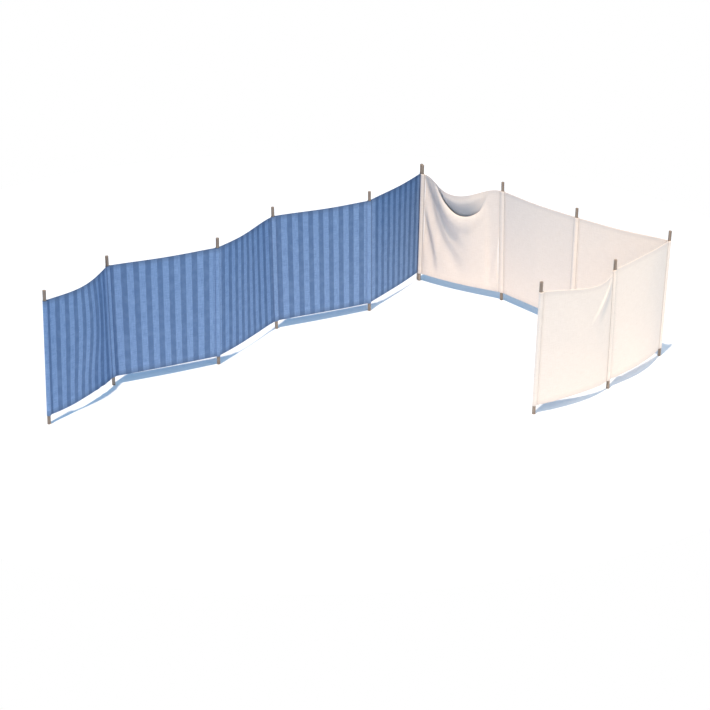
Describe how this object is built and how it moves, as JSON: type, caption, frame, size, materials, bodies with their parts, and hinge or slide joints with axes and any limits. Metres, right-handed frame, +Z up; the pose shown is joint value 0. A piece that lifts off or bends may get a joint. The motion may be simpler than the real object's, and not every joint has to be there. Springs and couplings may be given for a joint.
{
  "type": "beach windbreak",
  "caption": "Beach windbreak screen: a striped blue cloth and a plain cream cloth held in sewn pockets on round wooden poles, set up as a zigzag that turns into a shelter.",
  "frame": {"origin": "foot of the last blue pole at ground level, where the two cloths meet", "axes": "+Z up; +X runs along the screen's longest extent, from the blue cloth's free end to the cream shelter; +Y away from the side that the picture was taken from"},
  "size_m": [6.2372, 4.0237, 1.3951],
  "materials": {
    "blue_cloth": "matte woven cotton with darker blue stripes",
    "cream_cloth": "matte woven cotton, undyed",
    "pole_wood": "weathered, uncoated"
  },
  "bodies": {
    "root": {"blue_pole_1": "pole_wood", "blue_pole_2": "pole_wood", "blue_pole_3": "pole_wood", "blue_pole_4": "pole_wood", "blue_pole_5": "pole_wood", "blue_pole_6": "pole_wood", "blue_pocket_1": "blue_cloth", "blue_pocket_2": "blue_cloth", "blue_pocket_3": "blue_cloth", "blue_pocket_4": "blue_cloth", "blue_pocket_5": "blue_cloth", "blue_pocket_6": "blue_cloth", "blue_bay_1": "blue_cloth", "blue_bay_2": "blue_cloth", "blue_bay_3": "blue_cloth", "blue_bay_4": "blue_cloth", "blue_bay_5": "blue_cloth", "cream_pole_1": "pole_wood", "cream_pole_2": "pole_wood", "cream_pole_3": "pole_wood", "cream_pole_4": "pole_wood", "cream_pole_5": "pole_wood", "cream_pole_6": "pole_wood", "cream_pocket_1": "cream_cloth", "cream_pocket_2": "cream_cloth", "cream_pocket_3": "cream_cloth", "cream_pocket_4": "cream_cloth", "cream_pocket_5": "cream_cloth", "cream_pocket_6": "cream_cloth", "cream_bay_1": "cream_cloth", "cream_bay_2": "cream_cloth", "cream_bay_3": "cream_cloth", "cream_bay_4": "cream_cloth", "cream_bay_5": "cream_cloth"}
  },
  "joints": []
}
